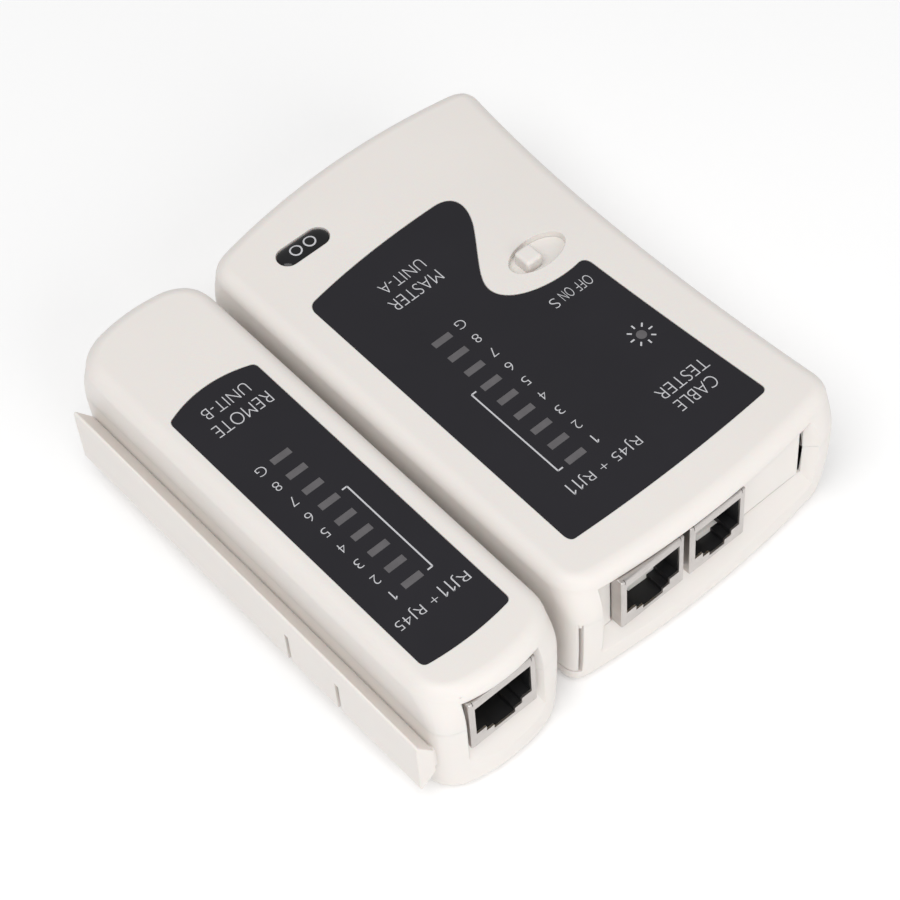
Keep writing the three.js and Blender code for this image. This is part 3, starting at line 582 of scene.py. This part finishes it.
def master_print(material):
    bm = bmesh.new()
    words(bm, "MASTER", 0.0091, 0.0174, 0.0114, 0.0028)
    words(bm, "UNIT-A", 0.0094, 0.0216, 0.0098, 0.0025)
    words(bm, "RJ45 + RJ", 0.0089, -0.0337, 0.0132, CAP)
    figure_one(bm, 0.0012, -0.0337, CAP)
    figure_one(bm, -0.0004, -0.0337, CAP)
    words(bm, "CABLE", 0.0294, -0.0336, 0.0091, CAP)
    words(bm, "TESTER", 0.0297, -0.0297, 0.0113, CAP)
    words(bm, "OFF", 0.0320, -0.0020, 0.0035, 0.0023)
    words(bm, "ON", 0.0281, -0.0018, 0.0026, 0.0023)
    words(bm, "S", 0.0251, -0.0020, 0.0014, 0.0023)
    low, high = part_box("power_led")
    sun_rays(bm, (low.x + high.x) / 2, (low.y + high.y) / 2)
    lamp_numbers(bm, "master", 0.0047, 0.0004)
    lamp_bracket(bm, "master", -0.0043)
    return printed("master", bm, material)


def remote_print(material):
    bm = bmesh.new()
    words(bm, "REMOTE", -0.0309, 0.0172, 0.0122, 0.0028)
    words(bm, "UNIT-B", -0.0313, 0.0215, 0.0098, 0.0025)
    words(bm, "RJ", -0.0256, -0.0343, 0.0028, CAP)
    figure_one(bm, -0.0281, -0.0343, CAP)
    figure_one(bm, -0.0297, -0.0343, CAP)
    words(bm, "+ RJ45", -0.0353, -0.0343, 0.0088, CAP)
    lamp_numbers(bm, "remote", -0.0045, -0.0002)
    lamp_bracket(bm, "remote", 0.0042)
    return printed("remote", bm, material)


# ------------------------------------------------------------------ cases
UNIT_BODY = {"master": "main_unit", "remote": "remote_unit"}


def screw_places(unit):
    names = sorted(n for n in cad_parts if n.startswith(unit + "_screw_"))
    return [(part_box(n)[0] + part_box(n)[1]) / 2 for n in names]


def top_bosses(unit):
    roof = HEIGHT - WALL + 0.0005
    return [post(c.x, c.y, SCREW["top_boss"], SPLIT + SEAM, roof) for c in screw_places(unit)]


def bottom_bosses(unit, radius):
    return [post(c.x, c.y, radius, 0.0005, SPLIT - GAP) for c in screw_places(unit)]


def screw_bores(unit):
    bores = []
    for c in screw_places(unit):
        bores.append(post(c.x, c.y, SCREW["head"], -OVER, SCREW["head_top"]))
        bores.append(post(c.x, c.y, SCREW["shank"], SCREW["shank_foot"], SPLIT + 0.0045))
    return bores


def dock_lip(plan):
    """Lip of the top shell that hangs down in front of the docking slot, and the slot's roof."""
    left = MASTER["left"]
    side = block(left - OVER, left + DOCK["lip"], -BEYOND, BEYOND, DOCK["lip_foot"], HEIGHT)
    lip = keep(bottom_body(plan), side)
    roof = prism(inset(plan["seam"], 0.00015), DOCK["slot_top"], SPLIT + DOCK["roof"])
    keep(roof, block(left, left + DOCK["inner"] - 0.00005, -BEYOND, BEYOND, 0, HEIGHT))
    return lip, roof


def shutter_pocket():
    low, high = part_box("switch_knob")
    x0, x1 = low.x - GAP, high.x + SWITCH["travel"] + GAP
    return block(x0, x1, low.y - GAP, high.y + GAP, HEIGHT - WALL - OVER, HEIGHT - SWITCH["depth"])


def lamp_slots(unit):
    return lamp_blocks(unit, (0.0052, 0.0024), HEIGHT - 0.004, HEIGHT)


def power_lamp_hole(radius, z0, z1):
    low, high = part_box("power_led")
    return post((low.x + high.x) / 2, (low.y + high.y) / 2, radius, z0, z1)


def master_case(material):
    plan = case_plan(MASTER)
    switch_oval = ellipse(SWITCH["x"], SWITCH["y"], SWITCH["half_x"], SWITCH["half_y"])
    top = top_body(plan, "master_case_top")
    cut(top, top_cavity(plan))
    add(top, *dock_lip(plan), *top_bosses("master"))
    cut(
        top,
        prism(master_label_outline(), HEIGHT - LABEL_RECESS, HEIGHT + OVER),
        *lamp_slots("master"),
        power_lamp_hole(POWER_LAMP["bore"], HEIGHT - 0.004, HEIGHT),
        prism(switch_oval, HEIGHT - WALL - OVER, HEIGHT + OVER),
        shutter_pocket(),
        prism(capsule(BADGE, 0.00015), HEIGHT - BADGE["depth"], HEIGHT + OVER),
        recess_cut(MASTER_PORT),
        *screw_bores("master"),
    )
    add(top, hanging_panel(MASTER_PORT))
    dress(top, material, "main_unit", ["master_top_shell"])

    left = MASTER["left"]
    bottom = bottom_body(plan, "master_case_bottom")
    inside = keep(bottom_cavity(plan), block(left + DOCK["wall"], BEYOND, -BEYOND, BEYOND, 0, HEIGHT))
    cut(bottom, inside)
    wall_near, wall_far = BAY["near"] - 0.0022, BAY["near"] - 0.0007
    bay_wall = block(left + DOCK["wall"] - 0.001, 0.046, wall_near, wall_far, WALL - OVER, 0.015)
    add(bottom, ledge_backing(MASTER_PORT, plan), bay_wall, *bottom_bosses("master", MASTER_BOSS))
    cut(
        bottom,
        recess_cut(MASTER_PORT),
        block(left - OVER, left + DOCK["inner"], -BEYOND, BEYOND, DOCK["flange"], HEIGHT),
        block(BAY["x0"] - GAP, BAY["x1"] + GAP, BAY["near"] - GAP, BEYOND, -OVER, BAY["cover"] + GAP),
        block(BAY["x0"] + 0.001, BAY["x1"] - 0.001, BAY["near"] + 0.001, 0.048, 0, WALL + 0.001),
        *screw_bores("master"),
    )
    dress(bottom, material, "main_unit", ["master_bottom_shell"])

    hatch = bottom_body(plan, "battery_hatch_cover")
    keep(hatch, block(BAY["x0"], BAY["x1"], BAY["near"], BEYOND, -OVER, BAY["cover"]))
    middle = (BAY["x0"] + BAY["x1"]) / 2
    ridge_ys = [BAY["near"] + 0.003 + i * 0.002 for i in range(4)]
    ridges = [centred_block(middle, y, 0.016, 0.001, -OVER, 0.0005) for y in ridge_ys]
    cut(hatch, *ridges)
    dress(hatch, material, "battery_hatch", ["battery_cover"])


def dock_rail():
    """Dovetail on a narrow neck, with softened outer edges and a snap tongue between two slits."""
    side, out, high = REMOTE["left"], RAIL_LO.x, SPLIT
    neck, edge = side - RAIL["neck"], RAIL["edge"]
    head = [
        (neck, RAIL_NECK["top"]),
        *curve_points(((out + edge, high), (out, high), (out, high - edge)), 8),
        *curve_points(((out, RAIL["low"] + edge), (out, RAIL["low"]), (out + edge, RAIL["low"])), 8),
        (neck, RAIL_NECK["under"]),
    ]
    rail = sweep_y(head, RAIL["near"], RAIL["far"])
    bevel_edges(rail, 0.00025, 3, 60)
    near, far = RAIL["near"] + edge, RAIL["far"] - edge
    stem = block(neck - 0.0008, side + 0.0008, near, far, RAIL_NECK["low"], RAIL_NECK["high"])
    add(rail, stem)
    slit_top = RAIL["low"] + RAIL_SLITS["height"]
    deep, width = 2 * RAIL_SLITS["deep"], RAIL_SLITS["width"]
    slits = [centred_block(out, y, deep, width, 0, slit_top) for y in RAIL_SLITS["ys"]]
    return cut(rail, *slits)


def remote_case(material):
    plan = case_plan(REMOTE)
    top = top_body(plan, "remote_case_top")
    cut(top, top_cavity(plan))
    add(top, *top_bosses("remote"))
    cut(
        top,
        prism(remote_label_outline(), HEIGHT - LABEL_RECESS, HEIGHT + OVER),
        *lamp_slots("remote"),
        recess_cut(REMOTE_PORT),
        *screw_bores("remote"),
    )
    add(top, hanging_panel(REMOTE_PORT))
    dress(top, material, "remote_unit", ["remote_top_shell"])

    bottom = bottom_body(plan, "remote_case_bottom")
    cut(bottom, bottom_cavity(plan))
    add(bottom, ledge_backing(REMOTE_PORT, plan), dock_rail(), *bottom_bosses("remote", REMOTE_BOSS))
    cut(bottom, recess_cut(REMOTE_PORT), *screw_bores("remote"))
    dress(bottom, material, "remote_unit", ["remote_bottom_shell"])


# ------------------------------------------------------------------ small parts
def bevel_edges(piece, width, segments=3, angle_deg=40):
    bevel = piece.modifiers.new("bevel", "BEVEL")
    bevel.width = width
    bevel.segments = segments
    bevel.limit_method = "ANGLE"
    bevel.angle_limit = math.radians(angle_deg)
    graph = bpy.context.evaluated_depsgraph_get()
    mesh = bpy.data.meshes.new_from_object(piece.evaluated_get(graph))
    piece.modifiers.clear()
    piece.data = mesh
    return piece


def mouth_profile(shape, x, z):
    right = [
        (shape["key"] / 2, KEY_LOW),
        (shape["key"] / 2, STEP_LOW),
        (shape["step"] / 2, STEP_LOW),
        (shape["step"] / 2, MOUTH_LOW),
        (shape["mouth"] / 2, MOUTH_LOW),
        (shape["mouth"] / 2, MOUTH_HIGH),
    ]
    mirrored = [(-dx, dz) for dx, dz in reversed(right)]
    return [(x + dx, z + dz) for dx, dz in right + mirrored]


def jack_shield(jack, material, body):
    """Folded sheet shell: rounded outer folds, open slits where the front flaps meet."""
    low, high = shield_box(jack)
    shape = JACK_SHAPES[jack.split("_")[1]]
    x = (low.x + high.x) / 2
    shell = block(low.x, high.x, low.y, high.y, low.z, high.z, jack + "_shell")
    bevel_edges(shell, 0.00035, 4)
    t = SHIELD_WALL
    inside = block(low.x + t, high.x - t, low.y + t, high.y + OVER, low.z + t, high.z - t)
    mouth = sweep_y(mouth_profile(shape, x, low.z), low.y - OVER, low.y + OVER)
    slits = []
    for edge in (low.x + 0.0009, high.x - 0.0009):
        slits.append(centred_block(edge, low.y, 0.00012, 0.0012, high.z - 0.0009, high.z + OVER))
        slits.append(centred_block(edge, low.y, 0.00012, 0.0012, low.z - OVER, low.z + 0.0007))
    cut(shell, inside, mouth, *slits)
    return dress(shell, material, body, [jack + "_shield"])


def knob(material):
    """Rounded grip on a shutter plate that closes the oval from below."""
    low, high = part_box("switch_knob")
    x, y = (low.x + high.x) / 2, (low.y + high.y) / 2
    plate_top = HEIGHT - SWITCH["depth"] - 0.00005
    plate = block(low.x, high.x, low.y, high.y, plate_top - 0.00075, plate_top, "knob_grip")
    stem = centred_block(x, y, 0.0032, 0.0024, low.z, plate_top - 0.0003)
    grip = centred_block(x, y, KNOB[0], KNOB[1], plate_top - 0.0003, high.z)
    bevel_edges(grip, 0.0007, 6)
    add(plate, stem, grip)
    return dress(plate, material, "knob", ["switch_knob"])


def badge(material, ink):
    """Glossy capsule-shaped dome sunk in its pocket, with two plain printed rings."""
    low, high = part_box("oval_badge")
    rise = high.z - low.z
    rings = [at_height(capsule(BADGE, 0), low.z)]
    for i in range(9):
        turn = math.pi / 2 * i / 9
        outline = capsule(BADGE, BADGE["half_y"] * (math.cos(turn) - 1))
        rings.append(at_height(outline, low.z + rise * (0.4 + 0.6 * math.sin(turn))))
    dome = loft(rings, "badge_dome")
    dress(dome, material, "main_unit", ["oval_badge"], 60)
    bm = bmesh.new()
    for side in (-1, 1):
        ring = ellipse(BADGE["x"] + side * 0.0016, BADGE["y"], 0.0011, 0.0011, 28)
        for (x0, y0), (x1, y1) in zip(ring, ring[1:] + ring[:1]):
            bar(bm, x0, y0, x1, y1, RING_STROKE)
    mark = piece_from("badge_mark", bm)
    for vert in mark.data.vertices:
        sag = 1 - math.sqrt(max(0, 1 - ((vert.co.y - BADGE["y"]) / BADGE["half_y"]) ** 2))
        vert.co.z = high.z + 0.00003 - 0.6 * rise * sag
    dress(mark, ink, "main_unit")


# ------------------------------------------------------------------ materials
def new_material(name, **inputs):
    material = bpy.data.materials.new(name)
    material.use_nodes = True
    shader = material.node_tree.nodes["Principled BSDF"]
    for socket, value in inputs.items():
        shader.inputs[socket.replace("_", " ")].default_value = value
    return material, material.node_tree, shader


def noise(tree, scale, detail=3.0, roughness=0.5):
    place = tree.nodes.new("ShaderNodeTexCoord")
    node = tree.nodes.new("ShaderNodeTexNoise")
    node.inputs["Scale"].default_value = scale
    node.inputs["Detail"].default_value = detail
    node.inputs["Roughness"].default_value = roughness
    tree.links.new(place.outputs["Object"], node.inputs["Vector"])
    return node.outputs["Fac"]


def ramp(tree, factor, stops):
    node = tree.nodes.new("ShaderNodeValToRGB")
    node.color_ramp.elements.remove(node.color_ramp.elements[1])
    for i, (place, colour) in enumerate(stops):
        stop = node.color_ramp.elements[0] if i == 0 else node.color_ramp.elements.new(place)
        stop.position = place
        stop.color = colour
    tree.links.new(factor, node.inputs["Fac"])
    return node.outputs["Color"]


def grey(value):
    return (value, value, value, 1)


def tinted(colour, share):
    return (colour[0] * share, colour[1] * share, colour[2] * share, 1)


def vary(tree, shader, colour, scale, spread, rough, rough_spread):
    """Soft variation of colour and roughness round their middle values."""
    fac = noise(tree, scale)
    shades = ramp(tree, fac, [(0.3, tinted(colour, 1 - spread)), (0.7, tinted(colour, 1 + spread))])
    tree.links.new(shades, shader.inputs["Base Color"])
    rough_fac = noise(tree, scale * 3.7)
    roughs = ramp(tree, rough_fac, [(0.3, grey(rough - rough_spread)), (0.7, grey(rough + rough_spread))])
    tree.links.new(roughs, shader.inputs["Roughness"])


def grain(tree, shader, scale, depth, edge_round=0.0):
    """Fine moulded grain; edge_round softens sharp edges."""
    bump = tree.nodes.new("ShaderNodeBump")
    bump.inputs["Strength"].default_value = 0.5
    bump.inputs["Distance"].default_value = depth
    tree.links.new(noise(tree, scale, 4.0), bump.inputs["Height"])
    if edge_round:
        bevel = tree.nodes.new("ShaderNodeBevel")
        bevel.samples = 6
        bevel.inputs["Radius"].default_value = edge_round
        tree.links.new(bevel.outputs["Normal"], bump.inputs["Normal"])
    tree.links.new(bump.outputs["Normal"], shader.inputs["Normal"])


def plastic(
    name, colour, rough, scale=40, spread=0.02, rough_spread=0.05,
    grain_depth=0.00002, edge_round=0.0, **inputs,
):
    material, tree, shader = new_material(name, **inputs)
    vary(tree, shader, colour, scale, spread, rough, rough_spread)
    grain(tree, shader, 2600, grain_depth, edge_round)
    return material


def metal(name, colour, rough, spread=0.06, scale=160):
    material, tree, shader = new_material(name, Metallic=1.0)
    vary(tree, shader, colour, scale, spread, rough, 0.08)
    grain(tree, shader, 1500, 0.000008)
    return material


def ringed(name, base, band, scale, direction, rough):
    """Coloured bands across a small part."""
    material, tree, shader = new_material(name, Roughness=rough)
    place = tree.nodes.new("ShaderNodeTexCoord")
    wave = tree.nodes.new("ShaderNodeTexWave")
    wave.bands_direction = direction
    wave.inputs["Scale"].default_value = scale
    wave.inputs["Distortion"].default_value = 0.4
    tree.links.new(place.outputs["Object"], wave.inputs["Vector"])
    bands = ramp(tree, wave.outputs["Fac"], [(0.55, (*base, 1)), (0.6, (*band, 1))])
    tree.links.new(bands, shader.inputs["Base Color"])
    grain(tree, shader, 1800, 0.00002)
    return material


def board(name):
    """Green solder mask over lighter copper tracks."""
    material, tree, shader = new_material(name, Roughness=0.35)
    place = tree.nodes.new("ShaderNodeTexCoord")
    brick = tree.nodes.new("ShaderNodeTexBrick")
    brick.inputs["Scale"].default_value = 260
    brick.inputs["Mortar Size"].default_value = 0.06
    brick.inputs["Color1"].default_value = (0.010, 0.085, 0.030, 1)
    brick.inputs["Color2"].default_value = (0.013, 0.100, 0.036, 1)
    brick.inputs["Mortar"].default_value = (0.030, 0.190, 0.070, 1)
    tree.links.new(place.outputs["Object"], brick.inputs["Vector"])
    tree.links.new(brick.outputs["Color"], shader.inputs["Base Color"])
    grain(tree, shader, 900, 0.00003)
    return material


IVORY = (0.800, 0.760, 0.724)
ivory = plastic(
    "ivory_case", IVORY, 0.42, 30, 0.012, 0.05, 0.000012, 0.00025,
    Subsurface_Weight=0.08, Subsurface_Scale=0.002, Specular_IOR_Level=0.4,
)
label_ink = plastic("label_ink", (0.56, 0.56, 0.58), 0.5, 300, 0.04)
label_black = plastic(
    "label_black_film", (0.0165, 0.0155, 0.0195), 0.45, 60, 0.05, 0.03, 0.000004,
    Specular_IOR_Level=0.25,
)
window_smoke = plastic("smoked_window", (0.112, 0.106, 0.112), 0.38, 500, 0.08, 0.04, 0.000004)
lamp_resin = plastic("lamp_resin", (0.30, 0.29, 0.28), 0.25, 300, 0.05)
badge_black = plastic(
    "badge_gloss", (0.008, 0.008, 0.009), 0.09, 120, 0.1, 0.02, 0.000002,
    Specular_IOR_Level=0.3, Coat_Weight=0.2,
)
moulded_black = plastic("black_nylon", (0.009, 0.009, 0.010), 0.5, 200, 0.15)
nickel = metal("nickel_plate", (0.56, 0.53, 0.51), 0.38)
gold = metal("gold_plate", (0.78, 0.58, 0.26), 0.25)
steel = metal("steel_plate", (0.52, 0.52, 0.53), 0.32)
green_board = board("solder_mask")
cell_jacket = ringed("cell_jacket", (0.02, 0.03, 0.06), (0.35, 0.30, 0.20), 22, "X", 0.35)
resistor_paint = ringed("resistor_bands", (0.50, 0.38, 0.22), (0.14, 0.05, 0.03), 420, "X", 0.4)
wire_red = plastic("red_wire", (0.36, 0.02, 0.02), 0.4, 300)

# ------------------------------------------------------------------ build
master_case(ivory)
remote_case(ivory)

film_floor = HEIGHT - LABEL_RECESS
lamp_hole = power_lamp_hole(POWER_LAMP["window"], film_floor - OVER, HEIGHT + OVER)
label_film("master", master_label_outline(), label_black, [lamp_hole])
label_film("remote", remote_label_outline(), label_black)
pane_top = film_floor + LABEL_THICK - PANE_SINK
lamp_windows("master", window_smoke, [power_lamp_hole(POWER_LAMP["pane"], pane_top - PANE_THICK, pane_top)])
lamp_windows("remote", window_smoke)
master_print(label_ink)
remote_print(label_ink)
badge(badge_black, label_ink)
knob(ivory)
for port, port_body in ((MASTER_PORT, "main_unit"), (REMOTE_PORT, "remote_unit")):
    for jack_name in port["jacks"]:
        jack_shield(jack_name, nickel, port_body)

CARRIED = {
    "_insert": moulded_black,
    "_contacts": gold,
    "_pcb": green_board,
    "_led": lamp_resin,
    "_chip": moulded_black,
    "screw": steel,
    "switch_body": steel,
    "capacitor": moulded_black,
    "resistor": resistor_paint,
    "battery_9v": cell_jacket,
    "battery_snap": moulded_black,
    "lead_red": wire_red,
    "lead_black": moulded_black,
}
for node_name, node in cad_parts.items():
    for mark, material in CARRIED.items():
        if mark in node_name:
            node.data.materials.clear()
            node.data.materials.append(material)
            node.data.shade_smooth()
            node.data.set_sharp_from_angle(angle=math.radians(32))


# ------------------------------------------------------------------ floor, light, camera
def floor_material():
    material, tree, shader = new_material("studio_floor")
    vary(tree, shader, (0.97, 0.97, 0.97), 4, 0.004, 0.7, 0.03)
    shader.inputs["Emission Color"].default_value = (1, 1, 1, 1)
    shader.inputs["Emission Strength"].default_value = 0.06
    return material


floor = block(-1.5, 1.5, -1.5, 1.5, -0.01, 0, "studio_floor")
floor.data.materials.append(floor_material())

world = bpy.data.worlds.new("studio")
world.use_nodes = True
world.node_tree.nodes["Background"].inputs["Color"].default_value = (1, 1, 1, 1)
world.node_tree.nodes["Background"].inputs["Strength"].default_value = 0.47
bpy.context.scene.world = world


def soft_light(name, place, size, power):
    data = bpy.data.lights.new(name, "AREA")
    data.shape = "DISK"
    data.size = size
    data.energy = power
    lamp = bpy.data.objects.new(name, data)
    lamp.location = place
    lamp.rotation_euler = (-Vector(place)).to_track_quat("-Z", "Y").to_euler()
    bpy.context.scene.collection.objects.link(lamp)


soft_light("key", (-0.40, -0.20, 1.00), 0.9, 6.4)
soft_light("fill", (-0.05, -0.95, 0.50), 0.8, 3.1)


def place_camera():
    azimuth, elevation, roll = (math.radians(CAMERA[k]) for k in ("azimuth", "elevation", "roll"))
    level = math.cos(elevation)
    back = Vector((math.sin(azimuth) * level, -math.cos(azimuth) * level, math.sin(elevation)))
    right = Vector((math.cos(azimuth), math.sin(azimuth), 0))
    up = back.cross(right)
    local_x = right * math.cos(roll) - up * math.sin(roll)
    local_y = right * math.sin(roll) + up * math.cos(roll)
    data = bpy.data.cameras.new("camera")
    data.lens = CAMERA["lens"]
    data.sensor_width = 36
    camera = bpy.data.objects.new("camera", data)
    turn = Matrix((local_x, local_y, back)).transposed().to_4x4()
    camera.matrix_world = Matrix.Translation(CAMERA["place"]) @ turn
    bpy.context.scene.collection.objects.link(camera)
    bpy.context.scene.camera = camera


place_camera()
bpy.context.scene.view_settings.view_transform = "Standard"
